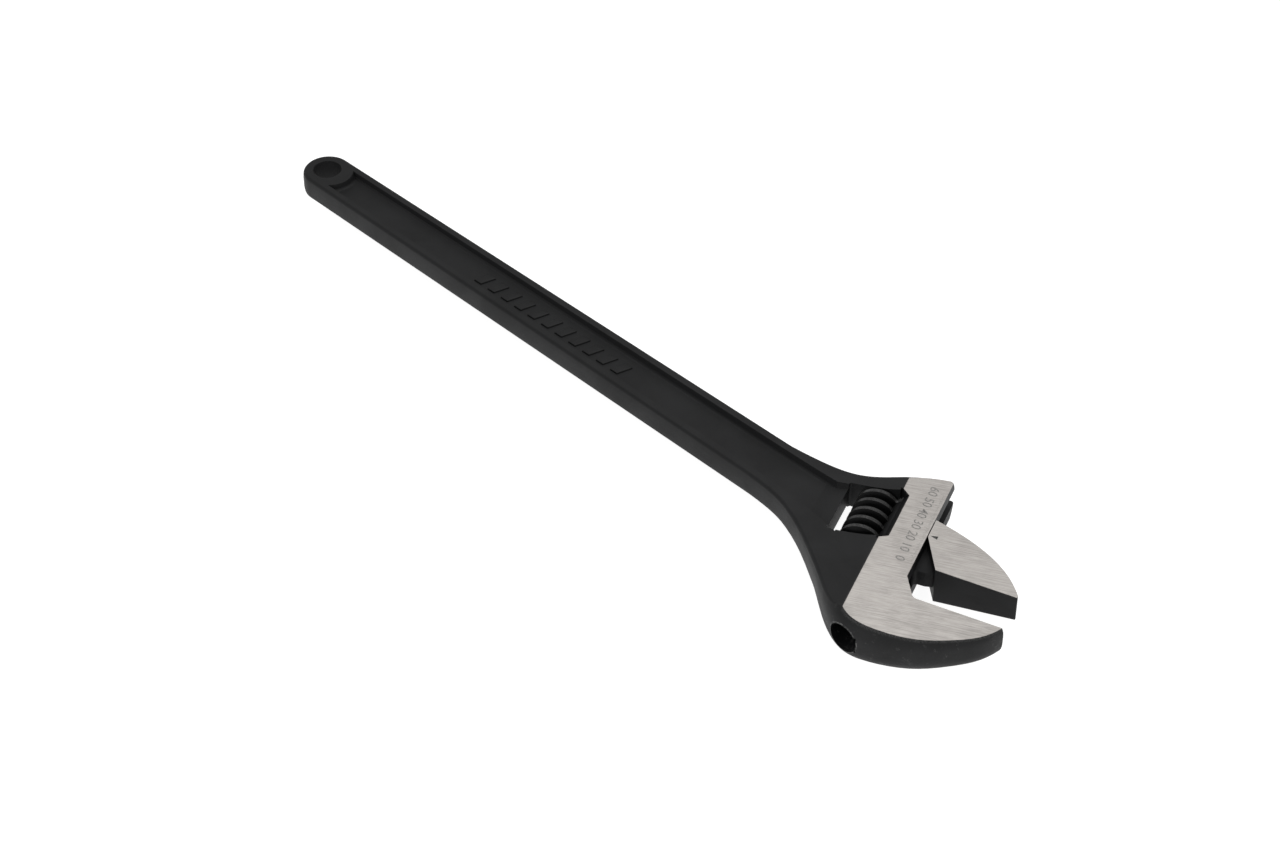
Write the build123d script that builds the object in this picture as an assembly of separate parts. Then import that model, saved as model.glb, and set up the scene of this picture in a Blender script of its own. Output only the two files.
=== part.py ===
from build123d import *
from math import asin, atan2, cos, hypot, radians, sin, sqrt
import os

# Adjustable wrench, 610 mm long, jaws opening to 62 mm.
# Frame: origin at the centre of the hanging hole, half way through the handle.
# +X runs along the handle to the head, +Z is square to the flat of the tool.
# The head has a frame of its own, turned 22.5 degrees about Z: U runs along the
# jaws to their tips, V along the slide in the direction in which the jaw opens.

# ---- driving dimensions, millimetres ----
JAW_ANGLE = 22.5                 # jaws against the handle
HEAD_X, HEAD_Y = 537.4, -34.1    # where the fixed jaw's face meets the guide face
OPENING = 26.2                   # gap between the jaws as drawn

# handle
TAIL_RADIUS = 16.3
HOLE_RADIUS = 9.4
HANDLE_END_X = 405.0
HANDLE_END_HALF = 18.8
HANDLE_Z_TAIL = 8.0              # half thickness beside the hanging hole
HANDLE_Z_NECK = 8.5              # half thickness before the neck

# head faces: ground flat, a wedge that thins towards the tips
FACE_Z = 13.4                    # half thickness at U = 0
FACE_SLOPE = 0.0743              # half thickness lost per mm of U
RIDGE_U = -24.9                  # back edge of the ground faces

# drop-forged sides: a round crown, cut off by the ground faces
CROWN_RADIUS = 14.0
CROWN_Z = 17.5                   # half thickness at which the crown would close
RIM_RADIUS = 2.2                 # rims of the handle and neck
CORNER_RADIUS = 2.0              # far corner of the guide face

# panel sunk into each side of the handle
PANEL_Z = 4.0                    # half thickness of the web
PANEL_START_RADIUS = 20.0
PANEL_HALF_TAIL = 9.4
PANEL_HALF_NECK = 11.0
PANEL_DRAFT = 20.0
PANEL_FILLET = 2.0
RAMP_LENGTH = 14.0
RAMP_Z = 6.3

# slide: a round bore for the jaw's rail and a slot for its web
BORE_U = -21.0
BORE_RADIUS = 9.0
SLOT_HALF = 5.5
SLOT_FLOOR_U = -12.2             # front of the slot where it leaves the near side
THROAT_V = 14.5                  # throat edge on the guide face
THROAT_U = 8.4                   # throat edge on the fixed jaw's face
THROAT_RADIUS = 4.0
FIT = 0.25                       # clearance of the sliding fit, each side

# window for the worm
WINDOW_REAR_U = -57.7
WINDOW_FRONT_U = -24.6
WINDOW_NEAR_V = 38.5
WINDOW_FAR_V = 80.0
WINDOW_RADIUS = 1.5
RELIEF_U = -20.0                 # thumb relief, at the ground face
RELIEF_Z = 8.0                   # thumb relief, at the window's wall

# worm, a knurl with one coarse thread
WORM_U = -38.5
WORM_RADIUS = 13.0
WORM_ROOT = 8.2
WORM_PITCH = 8.0
WORM_PLAY = 0.3                  # gap to the window's walls, each end
THREAD_CREST = 2.4               # width of the thread at its crest
THREAD_FOOT = 5.0                # width of the thread at its root
MESH_FIT = 0.25                  # clearance between thread and rack
THREAD_START_V = 30.0

# worm pin and its spring
PIN_RADIUS = 3.95
PIN_FIT = 0.05                   # in the forging
PIN_RUNNING_FIT = 0.08           # in the worm
PIN_NEAR_V = 29.0
PIN_THREAD_RADIUS = 5.0
PIN_THREAD_V = 83.0
PIN_END_V = 90.0
PIN_SLOT = 1.6
SPRING_RADIUS = 5.3
SPRING_WIRE = 0.5
SPRING_TURNS = 5
POCKET_RADIUS = 6.3
POCKET_DEPTH = 11.0

# moving jaw, measured in V from its own face
JAW_HEEL_V = 23.5                # throat edge at the guide face
JAW_THROAT_U = 13.0              # throat edge at the jaw's face
JAW_TOP_V = 38.4                 # top corner at the guide face
JAW_TIP_U = 61.8
JAW_GAP = 0.6                    # between the jaw and the guide face
RAIL_RADIUS = 8.9
RAIL_LOW_V = -6.0
RAIL_TOP_V = 52.0
ARCH_RADIUS = 2.2
ARCH_TOP_V = 2.4                 # lower edge of the jaw's web, above the jaw's face
ARCH_START_U = 2.2
ARCH_END_U = 9.5

# parting line of the head and neck, far side first, as U and V
HEAD_LINE = [(-70.0, 91.3), (-50.0, 90.6), (-33, 95.2), (-18, 100.3), (0, 103.6), (40, 98),
             (68, 50), (62.3, 0), (54, -12), (41, -22), (20.8, -32.3), (0, -36.4),
             (-22, -33.8), (-34.0, -23.5), (-51.3, 3.2), (-61.4, 17.8), (-71.1, 30.6),
             (-86.3, 46.6), (-99.3, 56.1)]
END_PULL = 0.2                   # how firmly the straight handle holds the line's ends

FAR = 400.0                      # a length that clears the whole tool

HEAD = Location((HEAD_X, HEAD_Y, 0), (0, 0, JAW_ANGLE))


def from_head(u, v):
    """Point of the head's frame, given in the tool's frame."""
    a = radians(JAW_ANGLE)
    return (HEAD_X + u * cos(a) - v * sin(a), HEAD_Y + u * sin(a) + v * cos(a))


def face_z(u):
    """Half thickness between the ground faces."""
    return FACE_Z - FACE_SLOPE * u


def along_v(u, v, radius, length):
    """Round bar in the head's frame, from V along V."""
    return Pos(u, v, 0) * Rot(-90, 0, 0) * extrude(Circle(radius), amount=length)


def along_z(u, v, radius):
    """Tall round post in the head's frame."""
    return Pos(u, v, 0) * extrude(Circle(radius), amount=30.0, both=True)


def block(u0, u1, v0, v1, half_z):
    """Box in the head's frame, even about the mid-plane."""
    box = Box(u1 - u0, v1 - v0, 2 * half_z)
    return Pos((u0 + u1) / 2, (v0 + v1) / 2, 0) * box


def prism(points, half_z):
    """Prism on a closed polygon of the head's U-V plane."""
    return extrude(make_face(Polyline(*points, close=True)), amount=half_z, both=True)


def above_flats():
    """All that lies above the tool's upper flat, in the head's frame."""
    tail = (-530.0, 0, HANDLE_Z_TAIL)
    neck = (-84.0, 0, HANDLE_Z_NECK)
    ridge = (RIDGE_U, 0, face_z(RIDGE_U))
    tip = (75.0, 0, face_z(75.0))
    rise = Spline(neck, (-57.0, 0, 9.3), (-40.0, 0, 11.2), ridge,
                  tangents=[(1, 0, 0), (1, 0, 0.42)])
    roof = Polyline(tip, (75.0, 0, 40.0), (-530.0, 0, 40.0), tail)
    section = make_face(Wire([Line(tail, neck).edge(), rise.edge(), Line(ridge, tip).edge(),
                              *roof.edges()]))
    return Pos(0, -FAR, 0) * extrude(section, amount=2 * FAR, dir=(0, 1, 0))


def crown_inset(z):
    """How far the rounded side lies inside the parting line at a height."""
    rise = max(abs(z) - (CROWN_Z - CROWN_RADIUS), 0)
    return CROWN_RADIUS - sqrt(CROWN_RADIUS ** 2 - rise ** 2)


def handle_slope():
    """Angle of the handle's straight sides against its length."""
    reach = hypot(HANDLE_END_HALF, HANDLE_END_X)
    return atan2(HANDLE_END_HALF, HANDLE_END_X) - asin(TAIL_RADIUS / reach)


def parting_line(points):
    """Line from the end of the handle's far side round the head to its near side."""
    slope = handle_slope()
    return Spline(*points, tangents=[(cos(slope), sin(slope)), (-cos(slope), sin(slope))],
                  tangent_scalars=(END_PULL, END_PULL))


def forging_outline(z):
    """Outline of the forging at height z, closed across the mouth by a wide curve."""
    widest = [(HANDLE_END_X, HANDLE_END_HALF), *[from_head(u, v) for u, v in HEAD_LINE],
              (HANDLE_END_X, -HANDLE_END_HALF)]
    line = parting_line(widest)
    inset = crown_inset(z)
    points = []
    for point in widest:
        along = line.tangent_at(Vector(*point))
        points.append(Vector(*point) + Vector(along.Y, -along.X) * inset)
    radius = TAIL_RADIUS - inset
    slope = handle_slope()
    tail_x, tail_y = -radius * sin(slope), radius * cos(slope)
    lines = [
        ThreePointArc((tail_x, -tail_y), (-radius, 0), (tail_x, tail_y)),
        Line((tail_x, tail_y), points[0]),
        parting_line(points),
        Line(points[-1], (tail_x, -tail_y)),
    ]
    return Pos(0, 0, z) * make_face(Wire([line.edge() for line in lines]))


def crowned_blank():
    heights = [0.0, 4.0, 7.0, 10.0, 12.5, 14.5, 15.5]
    levels = [-z for z in reversed(heights[1:])] + heights
    return loft([forging_outline(z) for z in levels])


def rim_edges(blank):
    """Edges between the black flats and the sides, up to the ridge."""
    to_head = HEAD.inverse()
    edges = []
    for edge in blank.edges():
        start, middle, end = [(to_head * Location(edge @ t)).position for t in (0, 0.5, 1)]
        across = abs(start.X - end.X) < 0.1
        if abs(middle.Z) > HANDLE_Z_TAIL - 1 and middle.X < RIDGE_U and not across:
            edges.append(edge)
    tail = [e for e in blank.edges().filter_by(GeomType.CIRCLE)]
    return edges + [e for e in tail if e not in edges and abs((e @ 0.5).Z) > HANDLE_Z_TAIL - 1]


def mouth():
    """The open space in front of the guide face and above the fixed jaw."""
    points = [(0, FAR), (0, THROAT_V), (THROAT_U, 0), (FAR, 0), (FAR, FAR)]
    space = prism(points, 30.0)
    corner = space.edges().filter_by(Axis.Z).sort_by_distance((THROAT_U, 0, 0))[0]
    return fillet(corner, THROAT_RADIUS)


def panel():
    """One sunk panel of the handle, as the solid that is taken away."""
    end_near = from_head(WINDOW_REAR_U + 4.0, 41.0)
    end_far = from_head(WINDOW_REAR_U + 4.0, 77.0)
    half_tail, half_neck = PANEL_HALF_TAIL, PANEL_HALF_NECK
    floor = make_face(Polyline(
        (0, half_tail), (HANDLE_END_X, half_neck), (448.0, half_neck + 0.6), end_far,
        end_near, (448.0, -half_neck - 2.0), (HANDLE_END_X, -half_neck),
        (0, -half_tail), close=True))
    floor -= Circle(PANEL_START_RADIUS)
    sunk = extrude(Pos(0, 0, PANEL_Z) * floor, amount=14.0, taper=-PANEL_DRAFT)
    sunk = fillet(sunk.faces().sort_by(Axis.Z)[0].edges(), PANEL_FILLET)
    ramp = make_face(Polyline(
        (WINDOW_REAR_U - RAMP_LENGTH, 0, 0), (WINDOW_REAR_U - RAMP_LENGTH, 0, PANEL_Z),
        (WINDOW_REAR_U, 0, RAMP_Z), (0, 0, RAMP_Z), (0, 0, 0), close=True))
    return sunk - HEAD * (Pos(0, -FAR, 0) * extrude(ramp, amount=2 * FAR, dir=(0, 1, 0)))


def thumb_relief():
    """Slope from the ground face down to the window, as the solid taken away."""
    slope = make_face(Polyline(
        (RELIEF_U, 0, face_z(RELIEF_U)), (WINDOW_FRONT_U, 0, RELIEF_Z),
        (WINDOW_FRONT_U - 2.0, 0, RELIEF_Z), (WINDOW_FRONT_U - 2.0, 0, 25.0),
        (RELIEF_U, 0, 25.0), close=True))
    slope = Pos(0, -FAR, 0) * extrude(slope, amount=2 * FAR, dir=(0, 1, 0))
    ends = [(WINDOW_FRONT_U - 2.0, WINDOW_NEAR_V - 2.6), (RELIEF_U, WINDOW_NEAR_V + 1.8),
            (RELIEF_U, WINDOW_FAR_V - 3.2), (WINDOW_FRONT_U - 2.0, WINDOW_FAR_V + 2.2)]
    return slope & prism(ends, 30.0)


def slot_space():
    """Bore and slot that the moving jaw's rail and web slide in."""
    bore = along_v(BORE_U, -80.0, BORE_RADIUS, 2 * FAR)
    deep = block(BORE_U, 0.1, -0.6, FAR, SLOT_HALF)
    exit_slot = block(BORE_U, SLOT_FLOOR_U, -80.0, 0, SLOT_HALF)
    nose = block(0, ARCH_END_U, 0.2, THROAT_V + 3.0, SLOT_HALF)
    nose -= block(ARCH_START_U - 0.3, ARCH_END_U, 0, ARCH_TOP_V - 0.5, SLOT_HALF)
    return bore + deep + exit_slot + nose


def guide_corner_edges(body):
    """Edges where the guide face meets the forging's far side."""
    to_head = HEAD.inverse()
    edges = []
    for edge in body.edges():
        middle = (to_head * Location(edge @ 0.5)).position
        if abs(middle.X) < 0.05 and middle.Y > 95:
            edges.append(edge)
    return edges


def make_body():
    blank = crowned_blank()
    roof = HEAD * above_flats()
    blank = blank - roof - roof.mirror(Plane.XY)
    blank = fillet(rim_edges(blank), RIM_RADIUS)
    window = block(WINDOW_REAR_U, WINDOW_FRONT_U, WINDOW_NEAR_V, WINDOW_FAR_V, 30.0)
    window = fillet(window.edges().filter_by(Axis.Z), WINDOW_RADIUS)
    pin_hole = along_v(WORM_U, PIN_NEAR_V, PIN_RADIUS + PIN_FIT, PIN_THREAD_V - PIN_NEAR_V)
    pin_hole += along_v(WORM_U, PIN_THREAD_V, PIN_THREAD_RADIUS + PIN_FIT, 60.0)
    relief = thumb_relief()
    cuts = [mouth(), window, relief, relief.mirror(Plane.XY), slot_space(), pin_hole]
    body = blank
    for cut in cuts:
        body = body - HEAD * cut
    sunk = panel()
    body = body - sunk - sunk.mirror(Plane.XY)
    body = body - extrude(Circle(HOLE_RADIUS), amount=30.0, both=True)
    return fillet(guide_corner_edges(body), CORNER_RADIUS)


def jaw_outline():
    """Side view of the moving jaw, V measured from its face."""
    heel = (JAW_GAP, JAW_HEEL_V)
    throat = (JAW_THROAT_U, 0)
    back = Spline((JAW_TIP_U, 1.5), (50.0, 15.8), (25.0, 30.8), (JAW_GAP, JAW_TOP_V),
                  tangents=[(-0.62, 1), (-1, 0.25)])
    lines = [Line(heel, throat), Line(throat, (JAW_TIP_U, 0)),
             Line((JAW_TIP_U, 0), (JAW_TIP_U, 1.5)), back, Line((JAW_GAP, JAW_TOP_V), heel)]
    return make_face(Wire([line.edge() for line in lines]))


def make_jaw():
    plate = extrude(jaw_outline(), amount=14.0, both=True)
    roof = above_flats()
    plate = plate - roof - roof.mirror(Plane.XY)
    rail = along_v(BORE_U, RAIL_LOW_V, RAIL_RADIUS, RAIL_TOP_V - RAIL_LOW_V)
    rail = chamfer(rail.edges(), 1.0)
    half = SLOT_HALF - FIT
    web = block(BORE_U, 6.0, 0, JAW_TOP_V - 0.5, half) + prism(
        [(0, 0.7), (JAW_THROAT_U - 2, 3.5), (0, JAW_HEEL_V + 2)], half)
    web -= block(-0.3, 20.0, -1.0, 0.7, 30.0)
    web -= block(ARCH_START_U, ARCH_END_U, -1.0, ARCH_TOP_V, 30.0)
    for arch_u in (ARCH_START_U, ARCH_END_U):
        web -= along_z(arch_u, ARCH_TOP_V - ARCH_RADIUS, ARCH_RADIUS)
    rail -= Pos(0, -OPENING, 0) * thread_ridge(THREAD_START_V - 2 * WORM_PITCH, 11, MESH_FIT)
    return plate + web + rail


def thread_ridge(start_v, turns, extra=0.0):
    """Helical ridge of the worm, or with extra the space that it needs."""
    foot = WORM_ROOT - 0.6
    crest = WORM_RADIUS + extra
    half_foot = THREAD_FOOT / 2 + extra
    half_crest = THREAD_CREST / 2 + extra
    path = Helix(WORM_PITCH, turns * WORM_PITCH, (foot + crest) / 2)
    profile = Plane.XZ * make_face(Polyline(
        (foot, -half_foot), (crest, -half_crest), (crest, half_crest),
        (foot, half_foot), close=True))
    ridge = sweep(profile, path=path, is_frenet=True)
    return Pos(WORM_U, start_v, 0) * Rot(-90, 0, 0) * ridge


def make_worm():
    low = WINDOW_NEAR_V + WORM_PLAY
    high = WINDOW_FAR_V - WORM_PLAY
    worm = along_v(WORM_U, low, WORM_ROOT, high - low) + thread_ridge(THREAD_START_V, 7)
    worm -= block(WORM_U - 20, WORM_U + 20, 0, low, 20)
    worm -= block(WORM_U - 20, WORM_U + 20, high, 140, 20)
    worm -= along_v(WORM_U, low - 1, PIN_RADIUS + PIN_RUNNING_FIT, high - low + 2)
    worm -= along_v(WORM_U, high - POCKET_DEPTH, POCKET_RADIUS, POCKET_DEPTH + 1)
    return worm


def make_pin():
    pin = along_v(WORM_U, PIN_NEAR_V + 0.5, PIN_RADIUS, PIN_THREAD_V - PIN_NEAR_V)
    pin += along_v(WORM_U, PIN_THREAD_V, PIN_THREAD_RADIUS, PIN_END_V - PIN_THREAD_V)
    slot = block(WORM_U - PIN_SLOT / 2, WORM_U + PIN_SLOT / 2, PIN_END_V - 2.0, PIN_END_V + 1, 10)
    return chamfer(pin.edges().group_by(Axis.Y)[-1], 0.6) - slot


def make_spring():
    length = POCKET_DEPTH - 2 * SPRING_WIRE - 0.4
    path = Helix(length / SPRING_TURNS, length, SPRING_RADIUS)
    wire = sweep(Plane(path @ 0, z_dir=path % 0) * Circle(SPRING_WIRE), path=path, is_frenet=True)
    start = WINDOW_FAR_V - 0.2 - SPRING_WIRE - length
    return Pos(WORM_U, start, 0) * Rot(-90, 0, 0) * wire


if __name__ == "__main__":
    os.makedirs("parts", exist_ok=True)
    parts = {
        "forged_body": make_body(),
        "moving_jaw": HEAD * Pos(0, OPENING, 0) * make_jaw(),
        "worm": HEAD * make_worm(),
        "worm_pin": HEAD * make_pin(),
        "pin_spring": HEAD * make_spring(),
    }
    for name, part in parts.items():
        export_step(part, f"parts/{name}.step")
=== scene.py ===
import math

import bmesh
import bpy
from mathutils import Matrix, Vector


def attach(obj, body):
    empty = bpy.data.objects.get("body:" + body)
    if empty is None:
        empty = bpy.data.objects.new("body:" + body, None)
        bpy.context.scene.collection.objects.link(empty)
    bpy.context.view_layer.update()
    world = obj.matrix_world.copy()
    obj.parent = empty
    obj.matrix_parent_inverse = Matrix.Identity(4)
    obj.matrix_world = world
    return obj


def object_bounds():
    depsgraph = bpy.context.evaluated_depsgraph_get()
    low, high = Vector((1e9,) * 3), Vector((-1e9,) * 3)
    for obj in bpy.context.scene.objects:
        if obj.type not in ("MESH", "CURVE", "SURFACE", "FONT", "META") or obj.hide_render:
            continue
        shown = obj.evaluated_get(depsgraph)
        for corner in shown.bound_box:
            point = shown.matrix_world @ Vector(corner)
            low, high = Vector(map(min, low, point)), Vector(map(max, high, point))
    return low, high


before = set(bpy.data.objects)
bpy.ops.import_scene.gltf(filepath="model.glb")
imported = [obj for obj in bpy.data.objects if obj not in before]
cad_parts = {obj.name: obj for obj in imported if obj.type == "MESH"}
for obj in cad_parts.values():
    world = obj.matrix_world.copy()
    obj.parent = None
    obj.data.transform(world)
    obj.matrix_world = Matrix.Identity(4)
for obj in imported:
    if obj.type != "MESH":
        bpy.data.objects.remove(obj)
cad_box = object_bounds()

# ---- camera, floor and light ------------------------------------------------
# The tool lies flat on a white table, seen from the fixed jaw's side and from
# the front, high enough to look down on the ground faces of the head.
camera_place = Vector((1.28467, -0.97384, 1.19688))
look_back = Vector((0.5329, -0.5248, 0.6638)).normalized()
camera_roll = math.radians(-0.21)
level_right = Vector((0, 0, 1)).cross(look_back).normalized()
level_up = look_back.cross(level_right)
camera_right = level_right * math.cos(camera_roll) + level_up * math.sin(camera_roll)
camera_up = level_up * math.cos(camera_roll) - level_right * math.sin(camera_roll)

camera_data = bpy.data.cameras.new("camera")
camera_data.sensor_width = 36.0
camera_data.lens = 83.82
camera_data.clip_end = 30.0
camera = bpy.data.objects.new("camera", camera_data)
turn = Matrix((camera_right, camera_up, look_back)).transposed().to_4x4()
camera.matrix_world = Matrix.Translation(camera_place) @ turn
bpy.context.scene.collection.objects.link(camera)
bpy.context.scene.camera = camera

floor_form = bmesh.new()
bmesh.ops.create_grid(floor_form, x_segments=1, y_segments=1, size=6.0)
floor_mesh = bpy.data.meshes.new("floor")
floor_form.to_mesh(floor_mesh)
floor_form.free()
floor = bpy.data.objects.new("floor", floor_mesh)
FLOOR_GAP = 0.0005
floor.location.z = cad_box[0][2] - FLOOR_GAP
bpy.context.scene.collection.objects.link(floor)
floor_paint = bpy.data.materials.new("white_table")
floor_paint.use_nodes = True
floor_shader = floor_paint.node_tree.nodes["Principled BSDF"]
floor_shader.inputs["Base Color"].default_value = (0.30, 0.30, 0.30, 1)
floor_shader.inputs["Emission Color"].default_value = (1.0, 1.0, 1.0, 1)
floor_shader.inputs["Emission Strength"].default_value = 0.92
floor_shader.inputs["Roughness"].default_value = 0.9
floor_shader.inputs["Specular IOR Level"].default_value = 0.1
floor_mesh.materials.append(floor_paint)

world = bpy.data.worlds.new("studio")
bpy.context.scene.world = world
world.use_nodes = True
sky = world.node_tree.nodes["Background"]
sky.inputs["Color"].default_value = (1.0, 1.0, 1.0, 1)
sky.inputs["Strength"].default_value = 0.62

bpy.context.scene.view_settings.view_transform = "Standard"
bpy.context.scene.view_settings.look = "None"


def soft_box(name, place, aim, width, height, watts):
    """A rectangular studio light that faces a point."""
    lamp = bpy.data.lights.new(name, "AREA")
    lamp.shape = "RECTANGLE"
    lamp.size = width
    lamp.size_y = height
    lamp.energy = watts
    holder = bpy.data.objects.new(name, lamp)
    holder.location = place
    holder.rotation_euler = (Vector(aim) - Vector(place)).to_track_quat("-Z", "Y").to_euler()
    bpy.context.scene.collection.objects.link(holder)


soft_box("light_over", (0.2, 0.6, 1.9), (0.35, 0.0, 0.0), 1.6, 1.0, 16.0)
soft_box("light_near", (0.9, -1.5, 0.55), (0.35, 0.0, 0.0), 1.2, 0.5, 5.0)

# ---- forged body --------------------------------------------------------------
# One drop forging of chrome-vanadium steel: I-section handle, neck, head and
# fixed jaw. It is shot-blasted and phosphated black all over, and then the two
# faces of the head are ground bright, as a wedge that thins towards the tips.
MM = 0.001
JAW_ANGLE = math.radians(22.5)
HEAD_X = 537.4 * MM
HEAD_Y = -34.1 * MM
FACE_Z = 13.4
FACE_SLOPE = 0.0743
RIDGE_U = -24.9
BORE_U = -21.0
BORE_RADIUS = 9.0


def from_head(u, v, z=0.0):
    """Point of the tool's frame, from millimetres in the head's frame."""
    x = HEAD_X + (u * math.cos(JAW_ANGLE) - v * math.sin(JAW_ANGLE)) * MM
    y = HEAD_Y + (u * math.sin(JAW_ANGLE) + v * math.cos(JAW_ANGLE)) * MM
    return Vector((x, y, z * MM))


def new_group(name, inputs, outputs):
    """An empty shader node group with float or colour sockets and its end nodes."""
    tree = bpy.data.node_groups.new(name, "ShaderNodeTree")
    for label, kind, value in inputs:
        socket = tree.interface.new_socket(name=label, in_out="INPUT", socket_type=kind)
        if value is not None:
            socket.default_value = value
    for label, kind in outputs:
        tree.interface.new_socket(name=label, in_out="OUTPUT", socket_type=kind)
    return tree, tree.nodes.new("NodeGroupInput"), tree.nodes.new("NodeGroupOutput")


def node(tree, kind, links=(), **settings):
    """A node whose properties are set by name, and its inputs by number or name."""
    made = tree.nodes.new(kind)
    values = settings.pop("values", {})
    for key, value in settings.items():
        setattr(made, key, value)
    for key, value in values.items():
        made.inputs[key].default_value = value
    for key, source in dict(links).items():
        tree.links.new(source, made.inputs[key])
    return made


def maths(tree, operation, a, b=None, c=None, clamp=False):
    """A Math node; each of a, b and c is a number or a socket."""
    made = tree.nodes.new("ShaderNodeMath")
    made.operation = operation
    made.use_clamp = clamp
    for index, item in enumerate((a, b, c)):
        if item is None:
            continue
        if isinstance(item, (int, float)):
            made.inputs[index].default_value = item
        else:
            tree.links.new(item, made.inputs[index])
    return made.outputs[0]


def step(tree, value, low, high):
    """0 below low, 1 above high, smooth between."""
    made = tree.nodes.new("ShaderNodeMapRange")
    made.interpolation_type = "SMOOTHSTEP"
    tree.links.new(value, made.inputs["Value"])
    made.inputs["From Min"].default_value = low
    made.inputs["From Max"].default_value = high
    return made.outputs["Result"]


FLOAT = "NodeSocketFloat"
COLOUR = "NodeSocketColor"
VECTOR = "NodeSocketVector"

# Head frame: millimetres along U and V of the head, and height over the ground
# face, from Object coordinates.
head_frame, ins, outs = new_group(
    "head_frame", [], [("U", FLOAT), ("V", FLOAT), ("Z", FLOAT), ("Over", FLOAT), ("UVZ", VECTOR)])
coords = node(head_frame, "ShaderNodeTexCoord")
shift = node(head_frame, "ShaderNodeVectorMath", {0: coords.outputs["Object"]},
             operation="SUBTRACT", values={1: (HEAD_X, HEAD_Y, 0)})
turned = node(head_frame, "ShaderNodeVectorRotate", {"Vector": shift.outputs[0]},
              rotation_type="Z_AXIS", values={"Angle": -JAW_ANGLE})
scaled = node(head_frame, "ShaderNodeVectorMath", {0: turned.outputs[0]},
              operation="SCALE", values={"Scale": 1000.0})
parts = node(head_frame, "ShaderNodeSeparateXYZ", {0: scaled.outputs[0]})
height = maths(head_frame, "ABSOLUTE", parts.outputs[2])
face = maths(head_frame, "MULTIPLY_ADD", parts.outputs[0], -FACE_SLOPE, FACE_Z)
over = maths(head_frame, "SUBTRACT", height, face)
head_frame.links.new(parts.outputs[0], outs.inputs["U"])
head_frame.links.new(parts.outputs[1], outs.inputs["V"])
head_frame.links.new(height, outs.inputs["Z"])
head_frame.links.new(over, outs.inputs["Over"])
head_frame.links.new(scaled.outputs[0], outs.inputs["UVZ"])

# Blasted black: the phosphate's crystals over a shot-blasted forging skin, with
# slow changes of tone, and paler places: partly rubbed wear, partly painted
# highlight along edges and crests.
blasted, ins, outs = new_group(
    "blasted_black",
    [("Tone", FLOAT, 1.0), ("Wear_and_Sheen", FLOAT, 0.0)],
    [("Colour", COLOUR), ("Roughness", FLOAT), ("Height", FLOAT)])
coords = node(blasted, "ShaderNodeTexCoord")
grain = node(blasted, "ShaderNodeTexNoise", {"Vector": coords.outputs["Object"]},
             values={"Scale": 1500.0, "Detail": 3.0, "Roughness": 0.6})
pits = node(blasted, "ShaderNodeTexNoise", {"Vector": coords.outputs["Object"]},
            values={"Scale": 420.0, "Detail": 4.0, "Roughness": 0.65})
cloud = node(blasted, "ShaderNodeTexNoise", {"Vector": coords.outputs["Object"]},
             values={"Scale": 26.0, "Detail": 5.0, "Roughness": 0.6, "Distortion": 0.4})
tone = step(blasted, cloud.outputs["Fac"], 0.3, 0.7)
fine = step(blasted, grain.outputs["Fac"], 0.35, 0.7)
lift = maths(blasted, "MULTIPLY_ADD", tone, 0.35, 0.75)
lift = maths(blasted, "MULTIPLY_ADD", fine, 0.25, lift)
lift = maths(blasted, "MULTIPLY", lift, ins.outputs["Tone"])
dark = node(blasted, "ShaderNodeMix", {"Factor": lift}, data_type="RGBA", clamp_factor=False,
            values={"A": (0.0, 0.0, 0.0, 1), "B": (0.0062, 0.0064, 0.0068, 1)})
wear_and_sheen = maths(blasted, "MULTIPLY", ins.outputs["Wear_and_Sheen"], fine, clamp=True)
colour = node(blasted, "ShaderNodeMix", {"Factor": wear_and_sheen, "A": dark.outputs["Result"]},
              data_type="RGBA", values={"B": (0.17, 0.168, 0.165, 1)})
rough = maths(blasted, "MULTIPLY_ADD", tone, -0.08, 0.62)
rough = maths(blasted, "MULTIPLY_ADD", wear_and_sheen, -0.15, rough)
high = maths(blasted, "MULTIPLY_ADD", pits.outputs["Fac"], 0.7, grain.outputs["Fac"])
blasted.links.new(colour.outputs["Result"], outs.inputs["Colour"])
blasted.links.new(rough, outs.inputs["Roughness"])
blasted.links.new(high, outs.inputs["Height"])

# Ground steel: fine scratches along the jaws' length from the grinding belt, some
# longer ones among them, and faint grey blotches where hands and oil have been.
ground, ins, outs = new_group(
    "ground_steel", [("UVZ", VECTOR, None)],
    [("Colour", COLOUR), ("Roughness", FLOAT), ("Height", FLOAT)])


def scratches(tree, source, angle, across, along, detail):
    """Noise drawn out along one direction of the head."""
    spun = node(tree, "ShaderNodeVectorRotate", {"Vector": source}, rotation_type="Z_AXIS",
                values={"Angle": math.radians(angle)})
    drawn = node(tree, "ShaderNodeVectorMath", {0: spun.outputs[0]}, operation="MULTIPLY",
                 values={1: (across, along, along)})
    return node(tree, "ShaderNodeTexNoise", {"Vector": drawn.outputs[0]},
                values={"Scale": 1.0, "Detail": detail, "Roughness": 0.7}).outputs["Fac"]


belt = scratches(ground, ins.outputs["UVZ"], 80.0, 1.9, 0.06, 6.0)
long_belt = scratches(ground, ins.outputs["UVZ"], 86.0, 1.2, 0.03, 3.0)
smudge = node(ground, "ShaderNodeTexNoise", {"Vector": ins.outputs["UVZ"]},
              values={"Scale": 0.055, "Detail": 4.0, "Roughness": 0.6}).outputs["Fac"]
belt_line = step(ground, belt, 0.3, 0.7)
long_line = step(ground, long_belt, 0.62, 0.74)
blotch = step(ground, smudge, 0.35, 0.7)
shade = maths(ground, "MULTIPLY_ADD", belt_line, 0.30, 0.77)
shade = maths(ground, "MULTIPLY_ADD", long_line, 0.10, shade)
shade = maths(ground, "MULTIPLY_ADD", blotch, -0.10, shade)
colour = node(ground, "ShaderNodeMix", {"Factor": shade}, data_type="RGBA", clamp_factor=False,
              values={"A": (0.0, 0.0, 0.0, 1), "B": (0.425, 0.403, 0.382, 1)})
rough = maths(ground, "MULTIPLY_ADD", belt_line, -0.12, 0.50)
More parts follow.
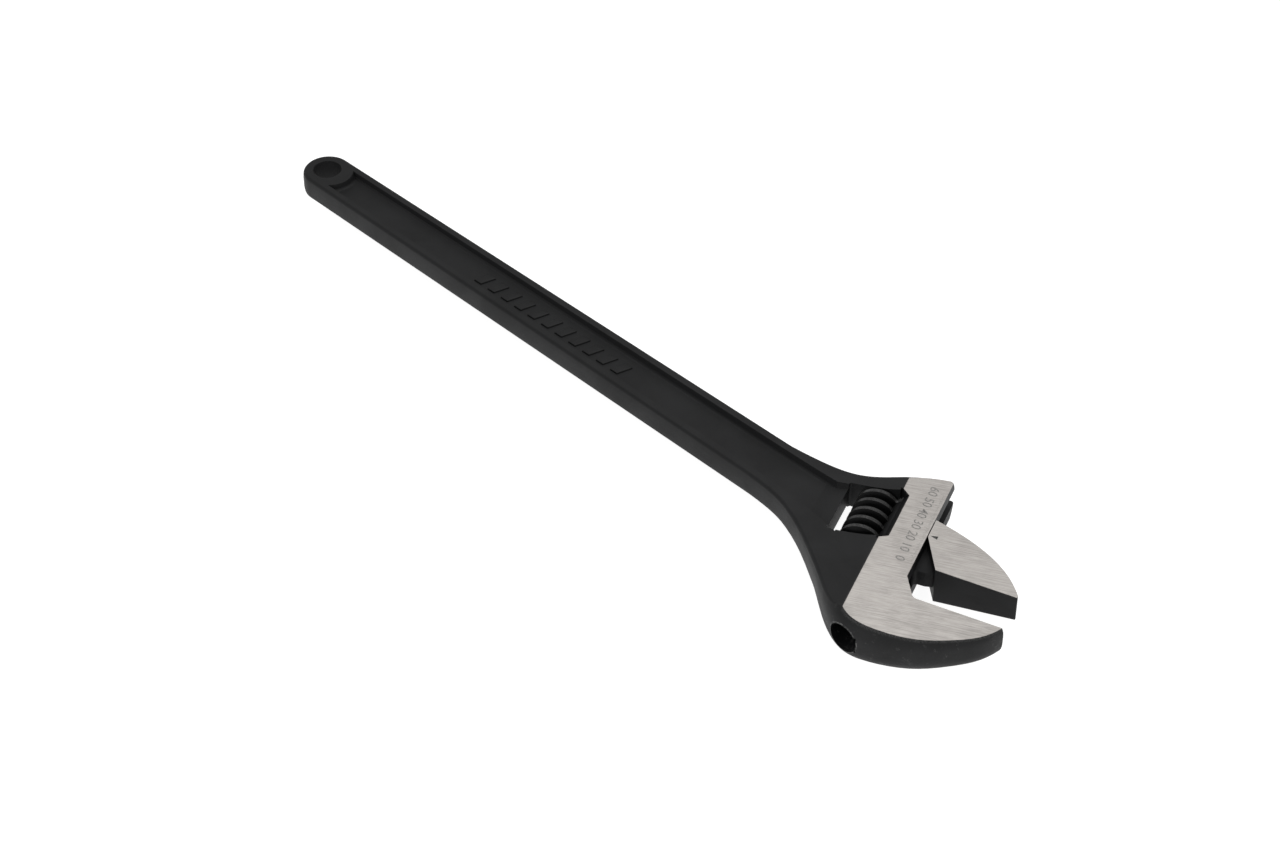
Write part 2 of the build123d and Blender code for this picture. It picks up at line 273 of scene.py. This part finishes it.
rough = maths(ground, "MULTIPLY_ADD", blotch, 0.06, rough)
high = maths(ground, "MULTIPLY_ADD", long_line, -0.5, belt)
ground.links.new(colour.outputs["Result"], outs.inputs["Colour"])
ground.links.new(rough, outs.inputs["Roughness"])
ground.links.new(high, outs.inputs["Height"])


def group_node(tree, group, links=(), **values):
    """A group placed in a material's tree."""
    made = tree.nodes.new("ShaderNodeGroup")
    made.node_tree = group
    for key, value in values.items():
        made.inputs[key].default_value = value
    for key, source in dict(links).items():
        tree.links.new(source, made.inputs[key])
    return made


def mixed(tree, kind, factor, a, b):
    """A Mix node between two sockets or values."""
    made = tree.nodes.new("ShaderNodeMix")
    made.data_type = kind
    tree.links.new(factor, made.inputs["Factor"])
    pair = {"FLOAT": (2, 3), "RGBA": (6, 7)}[kind]
    for index, item in zip(pair, (a, b)):
        if isinstance(item, (int, float, tuple)):
            made.inputs[index].default_value = item
        else:
            tree.links.new(item, made.inputs[index])
    return made.outputs[{"FLOAT": 0, "RGBA": 2}[kind]]


def two_finish(name, bright_mask, wear_and_sheen_mask, tone=1.0):
    """Black forging skin, with ground steel where the mask says."""
    paint = bpy.data.materials.new(name)
    paint.use_nodes = True
    tree = paint.node_tree
    shader = tree.nodes["Principled BSDF"]
    head = group_node(tree, head_frame)
    bright = bright_mask(tree, head)
    skin = group_node(tree, blasted, {"Wear_and_Sheen": wear_and_sheen_mask(tree, head)}, Tone=tone)
    steel = group_node(tree, ground, {"UVZ": head.outputs["UVZ"]})
    tree.links.new(mixed(tree, "RGBA", bright, skin.outputs["Colour"], steel.outputs["Colour"]),
                   shader.inputs["Base Color"])
    tree.links.new(mixed(tree, "FLOAT", bright, skin.outputs["Roughness"],
                         steel.outputs["Roughness"]), shader.inputs["Roughness"])
    tree.links.new(bright, shader.inputs["Metallic"])
    shader.inputs["Specular IOR Level"].default_value = 0.22
    skin_bump = node(tree, "ShaderNodeBump", {"Height": skin.outputs["Height"]},
                     values={"Strength": 0.30, "Distance": 0.00022})
    steel_bump = node(tree, "ShaderNodeBump", {"Height": steel.outputs["Height"]},
                      values={"Strength": 0.35, "Distance": 0.00004})
    normal = tree.nodes.new("ShaderNodeMix")
    normal.data_type = "VECTOR"
    tree.links.new(bright, normal.inputs["Factor"])
    tree.links.new(skin_bump.outputs[0], normal.inputs[4])
    tree.links.new(steel_bump.outputs[0], normal.inputs[5])
    tree.links.new(normal.outputs[1], shader.inputs["Normal"])
    return paint


def ground_mask(tree, head):
    """1 on the ground faces: in front of the ridge and level with the wedge."""
    return maths(tree, "MULTIPLY", step(tree, head.outputs["Over"], -0.10, -0.03),
                 step(tree, head.outputs["U"], RIDGE_U - 0.35, RIDGE_U - 0.10))


def spots(tree, head, size, low, high):
    """Scattered patches, about size millimetres across."""
    patch = node(tree, "ShaderNodeTexNoise", {"Vector": head.outputs["UVZ"]},
                 values={"Scale": 1.0 / size, "Detail": 4.0, "Roughness": 0.65}).outputs["Fac"]
    return step(tree, patch, low, high)


def body_rub(tree, head):
    """Paler skin: beside the ground faces a painted edge highlight, partly rubbed phosphate; worn
    places round the bore's mouth and on the jaw's tip.
    """
    # The band down the sides just under the ground faces is painted highlight where the edges
    # would catch the light, partly rubbed phosphate.
    beside = step(tree, head.outputs["Over"], -2.2, 0.0)
    front = step(tree, head.outputs["U"], -26.5, -24.0)
    edge = maths(tree, "MULTIPLY", maths(tree, "MULTIPLY", beside, front), 0.35)
    from_bore = maths(tree, "ADD", head.outputs["U"], -BORE_U)
    reach = maths(tree, "SQRT", maths(
        tree, "ADD", maths(tree, "MULTIPLY", from_bore, from_bore),
        maths(tree, "MULTIPLY", head.outputs["Z"], head.outputs["Z"])))
    ring = maths(tree, "MULTIPLY", step(tree, reach, BORE_RADIUS + 1.1, BORE_RADIUS + 0.5),
                 step(tree, reach, BORE_RADIUS + 0.02, BORE_RADIUS + 0.12))
    mouth = maths(tree, "MULTIPLY", ring, step(tree, head.outputs["V"], -20.0, -24.0))
    mouth = maths(tree, "MULTIPLY", mouth, spots(tree, head, 4.0, 0.30, 0.62))
    tip = maths(tree, "MULTIPLY", step(tree, head.outputs["U"], 52.0, 66.0),
                spots(tree, head, 3.0, 0.50, 0.66))
    low_edge = maths(tree, "MULTIPLY", step(tree, head.outputs["V"], -17.0, -24.0),
                     spots(tree, head, 5.0, 0.56, 0.70))
    worn = maths(tree, "MAXIMUM", maths(tree, "MULTIPLY", mouth, 0.9),
                 maths(tree, "MULTIPLY", maths(tree, "MAXIMUM", tip, low_edge), 0.28))
    return maths(tree, "MAXIMUM", edge, worn)


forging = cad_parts["forged_body"]
forging.data.materials.clear()
forging.data.materials.append(two_finish("phosphated_forging", ground_mask, body_rub))

# Raised bars stand on the panel's floor, forged with it, with drafted sides.
PANEL_FLOOR = 4.0 * MM
BAR_COUNT = 11
BAR_FIRST_X = 157.0 * MM
BAR_PITCH = 12.4 * MM
BAR_WIDTH = 6.6 * MM
BAR_LENGTH = 11.0 * MM
BAR_HEIGHT = 0.9 * MM
BAR_SLANT = 0.28
BAR_SUNK = 0.4 * MM
BAR_DRAFT = 0.3 * MM
BAR_ROUND = 0.35 * MM
BAR_MIDDLE_Y = -1.5 * MM

bars_form = bmesh.new()
for index in range(BAR_COUNT):
    cube = bmesh.ops.create_cube(bars_form, size=1.0)["verts"]
    bmesh.ops.scale(bars_form, vec=(BAR_WIDTH, BAR_LENGTH, BAR_HEIGHT + BAR_SUNK), verts=cube)
    for corner in cube:
        corner.co.x += BAR_SLANT * corner.co.y
        if corner.co.z > 0:
            corner.co.x -= math.copysign(BAR_DRAFT, corner.co.x - BAR_SLANT * corner.co.y)
            corner.co.y *= 0.95
    place = (BAR_FIRST_X + BAR_PITCH * index, BAR_MIDDLE_Y,
             PANEL_FLOOR + (BAR_HEIGHT - BAR_SUNK) / 2)
    bmesh.ops.translate(bars_form, vec=place, verts=cube)
bmesh.ops.bevel(bars_form, geom=bars_form.edges[:], offset=BAR_ROUND, segments=3,
                affect="EDGES", profile=0.5, material=-1)
bars_mesh = bpy.data.meshes.new("panel_bars")
bars_form.to_mesh(bars_mesh)
bars_form.free()
for face in bars_mesh.polygons:
    face.use_smooth = True
panel_bars = bpy.data.objects.new("panel_bars", bars_mesh)
bpy.context.scene.collection.objects.link(panel_bars)
bars_mesh.materials.append(forging.data.materials[0])
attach(panel_bars, "body")

# The millimetre scale is etched into the ground face: a fine tick for every
# millimetre of opening, and a number at each ten, read from the handle's side.
OPENING = 26.2
INK_LIFT = 0.012
TICK_WIDTH = 0.14
TICK_DEPTH = 0.02
TICK_START_U = -0.9
NUMBER_U = -10.9
NUMBER_HEIGHT = 5.9
HEIGHT_TO_FONT_SIZE = 1.35


def on_face(u, v, lift):
    """Place on the shown ground face, with X against V and Y along U."""
    along = Vector((math.cos(JAW_ANGLE), math.sin(JAW_ANGLE), -FACE_SLOPE)).normalized()
    across = Vector((math.sin(JAW_ANGLE), -math.cos(JAW_ANGLE), 0.0))
    square_to = across.cross(along)
    turned_to = Matrix((across, along, square_to)).transposed().to_4x4()
    return Matrix.Translation(from_head(u, v, FACE_Z - FACE_SLOPE * u + lift)) @ turned_to


def etching(name, deep, shallow):
    """Blackened etching whose tone varies with its depth."""
    paint = bpy.data.materials.new(name)
    paint.use_nodes = True
    tree = paint.node_tree
    shader = tree.nodes["Principled BSDF"]
    ink = node(tree, "ShaderNodeTexNoise",
               {"Vector": node(tree, "ShaderNodeTexCoord").outputs["Object"]},
               values={"Scale": 2500.0, "Detail": 2.0})
    tree.links.new(mixed(tree, "RGBA", step(tree, ink.outputs["Fac"], 0.40, 0.62),
                         deep, shallow), shader.inputs["Base Color"])
    shader.inputs["Roughness"].default_value = 0.6
    shader.inputs["Metallic"].default_value = 0.4
    return paint


etched = etching("etched_scale", (0.14, 0.136, 0.131, 1), (0.29, 0.28, 0.27, 1))

ticks_form = bmesh.new()
for millimetre in range(0, 61):
    length = 3.2 if millimetre % 10 == 0 else 2.4 if millimetre % 5 == 0 else 1.5
    cube = bmesh.ops.create_cube(ticks_form, size=1.0)["verts"]
    bmesh.ops.scale(ticks_form, vec=(TICK_WIDTH * MM, length * MM, TICK_DEPTH * MM),
                    verts=cube)
    bmesh.ops.transform(ticks_form, verts=cube,
                        matrix=on_face(TICK_START_U - length / 2, OPENING + millimetre,
                                       INK_LIFT))
ticks_mesh = bpy.data.meshes.new("scale_ticks")
ticks_form.to_mesh(ticks_mesh)
ticks_form.free()
ticks_mesh.materials.append(etched)
scale_ticks = bpy.data.objects.new("scale_ticks", ticks_mesh)
bpy.context.scene.collection.objects.link(scale_ticks)
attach(scale_ticks, "body")

for ten in range(0, 61, 10):
    figure = bpy.data.curves.new(f"scale_{ten}", "FONT")
    figure.body = str(ten)
    figure.size = NUMBER_HEIGHT * HEIGHT_TO_FONT_SIZE * MM
    figure.align_x = "CENTER"
    figure.extrude = 0.008 * MM
    figure.offset = 0.02 * MM
    drawn = bpy.data.objects.new(f"scale_{ten}_curve", figure)
    bpy.context.scene.collection.objects.link(drawn)
    figure_mesh = bpy.data.meshes.new_from_object(drawn)
    bpy.data.objects.remove(drawn)
    figure_mesh.transform(on_face(NUMBER_U, OPENING + ten, INK_LIFT))
    figure_mesh.materials.clear()
    figure_mesh.materials.append(etched)
    number = bpy.data.objects.new(f"scale_{ten}", figure_mesh)
    bpy.context.scene.collection.objects.link(number)
    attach(number, "body")

# ---- moving jaw ---------------------------------------------------------------
# A second forging: jaw, web and round rail in one piece, the rail's back cut
# with a rack. Its two faces are ground together with the head's.
def jaw_mask(tree, head):
    """1 on the two ground faces of the jaw."""
    return maths(tree, "MULTIPLY", step(tree, head.outputs["Over"], -0.10, -0.03),
                 step(tree, head.outputs["U"], -0.5, -0.2))


def jaw_rub(tree, head):
    """A thin pale band along the faces' edges: painted highlight where the edges would catch the
    light, partly rubbed phosphate.
    """
    return maths(tree, "MULTIPLY", step(tree, head.outputs["Over"], -1.2, 0.0), 0.3)


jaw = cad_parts["moving_jaw"]
jaw.data.materials.clear()
jaw.data.materials.append(two_finish("phosphated_jaw", jaw_mask, jaw_rub))

# A small triangle struck into the shown face points at the scale.
ARROW_TIP_U = 1.5
ARROW_BASE_U = 6.0
ARROW_HALF_WIDTH = 1.4
ARROW_V = 51.0
ARROW_DEPTH = 0.016
arrow_form = bmesh.new()
half_length = (ARROW_BASE_U - ARROW_TIP_U) / 2 * MM
half_width = ARROW_HALF_WIDTH * MM
outline = [arrow_form.verts.new(corner) for corner in
           ((0.0, -half_length, 0.0), (half_width, half_length, 0.0),
            (-half_width, half_length, 0.0))]
arrow_form.faces.new(outline)
raised = bmesh.ops.extrude_face_region(arrow_form, geom=arrow_form.faces[:])["geom"]
bmesh.ops.translate(arrow_form, vec=(0, 0, ARROW_DEPTH * MM),
                    verts=[item for item in raised if isinstance(item, bmesh.types.BMVert)])
bmesh.ops.recalc_face_normals(arrow_form, faces=arrow_form.faces[:])
bmesh.ops.transform(arrow_form, verts=arrow_form.verts[:],
                    matrix=on_face((ARROW_TIP_U + ARROW_BASE_U) / 2, ARROW_V,
                                   INK_LIFT - ARROW_DEPTH / 2))
arrow_mesh = bpy.data.meshes.new("jaw_arrow")
arrow_form.to_mesh(arrow_mesh)
arrow_form.free()
arrow_mesh.materials.append(
    etching("etched_arrow", (0.018, 0.018, 0.018, 1), (0.07, 0.069, 0.068, 1)))
jaw_arrow = bpy.data.objects.new("jaw_arrow", arrow_mesh)
bpy.context.scene.collection.objects.link(jaw_arrow)
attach(jaw_arrow, "jaw")

# ---- worm -----------------------------------------------------------------------
# A steel knurl with one coarse thread that meshes with the rack. It is turned
# from bar and blackened, and its crests are rubbed smooth by thumb and rack.
worm_paint = bpy.data.materials.new("blackened_worm")
worm_paint.use_nodes = True
tree = worm_paint.node_tree
shader = tree.nodes["Principled BSDF"]
head = group_node(tree, head_frame)
WORM_U = -38.5
CREST_RADIUS = 13.0
off_axis = maths(tree, "ADD", head.outputs["U"], -WORM_U)
square = maths(tree, "ADD", maths(tree, "MULTIPLY", off_axis, off_axis),
               maths(tree, "MULTIPLY", head.outputs["Z"], head.outputs["Z"]))
reach = maths(tree, "SQRT", square)
crest = step(tree, reach, CREST_RADIUS - 0.3, CREST_RADIUS)
# The crests are painted paler: partly rubbed steel, partly painted highlight along each crest.
skin = group_node(tree, blasted, {"Wear_and_Sheen": maths(tree, "MULTIPLY", crest, 0.24)}, Tone=0.55)
tree.links.new(skin.outputs["Colour"], shader.inputs["Base Color"])
tree.links.new(maths(tree, "MULTIPLY_ADD", crest, -0.12, 0.46), shader.inputs["Roughness"])
shader.inputs["Specular IOR Level"].default_value = 0.32
bump = node(tree, "ShaderNodeBump", {"Height": skin.outputs["Height"]},
            values={"Strength": 0.2, "Distance": 0.0001})
tree.links.new(bump.outputs[0], shader.inputs["Normal"])
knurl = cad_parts["worm"]
knurl.data.materials.clear()
knurl.data.materials.append(worm_paint)

# ---- worm pin and spring --------------------------------------------------------
# The pin is a turned steel screw with a slotted head, entered from the far side;
# the spring is a few turns of drawn wire that takes up the worm's end play.
for name, tint, gloss in (("worm_pin", (0.33, 0.33, 0.34, 1), 0.34),
                          ("pin_spring", (0.42, 0.42, 0.43, 1), 0.28)):
    bare = bpy.data.materials.new(f"bare_{name}")
    bare.use_nodes = True
    tree = bare.node_tree
    shader = tree.nodes["Principled BSDF"]
    head = group_node(tree, head_frame)
    steel = group_node(tree, ground, {"UVZ": head.outputs["UVZ"]})
    tinted = mixed(tree, "RGBA", steel.outputs["Height"], tint, steel.outputs["Colour"])
    tree.links.new(tinted, shader.inputs["Base Color"])
    tree.links.new(maths(tree, "MULTIPLY_ADD", steel.outputs["Height"], 0.1, gloss),
                   shader.inputs["Roughness"])
    shader.inputs["Metallic"].default_value = 1.0
    bare_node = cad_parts[name]
    bare_node.data.materials.clear()
    bare_node.data.materials.append(bare)
